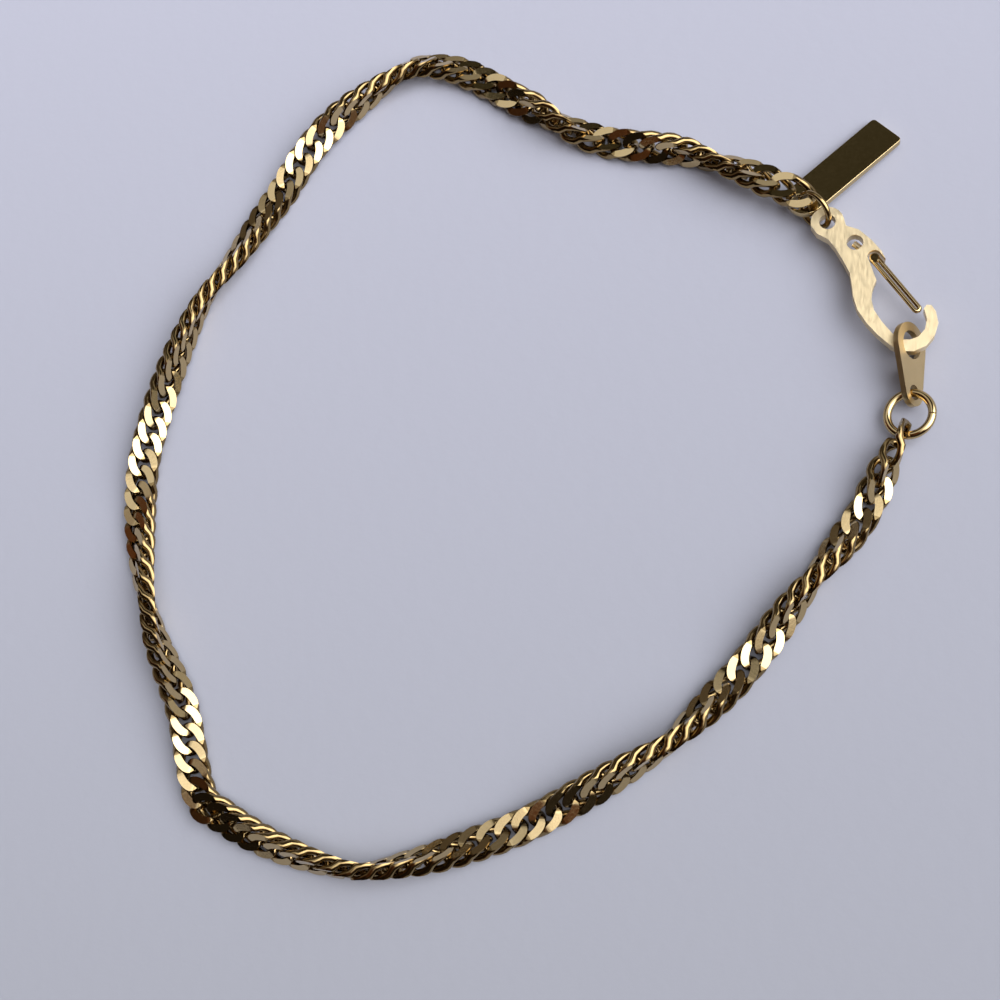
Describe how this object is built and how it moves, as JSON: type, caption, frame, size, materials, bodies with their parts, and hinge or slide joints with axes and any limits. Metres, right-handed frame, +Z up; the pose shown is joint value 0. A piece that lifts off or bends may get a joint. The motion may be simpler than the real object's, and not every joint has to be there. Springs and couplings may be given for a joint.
{
  "type": "chain bracelet",
  "caption": "Gold chain bracelet of twisted flat-cut curb links, closed by a flat hook with a wire gate, with a tab, jump rings and a plain rectangular tag; it lies closed in an open oval.",
  "frame": {"origin": "bottom centre of the bounding box, on the surface that the bracelet lies on", "axes": "+Z up from the surface, +X to the clasp's side, +Y towards the tag's end, in the plane of the loop"},
  "size_m": [0.061, 0.0646, 0.0032],
  "materials": {
    "chain_gold": "polished flat-cut facets",
    "satin_gold": "satin, finely brushed",
    "polished_gold": "polished"
  },
  "bodies": {
    "bracelet": {"chain_first_half": "chain_gold", "chain_second_half": "chain_gold", "tag_ring": "polished_gold", "hook_plate": "satin_gold", "clasp_ring": "polished_gold", "tab": "satin_gold", "tag": "polished_gold"},
    "gate": {"hook_gate": "polished_gold"}
  },
  "joints": [
    {"name": "gate_hinge", "type": "hinge", "parent": "bracelet", "child": "gate", "pos_m": [0.02658, 0.01136, 0.0015], "axis": [0, 0, -1], "range_deg": [0, 18], "stiffness_Nm_per_rad": 0.00002, "springref_deg": -20.05}
  ]
}
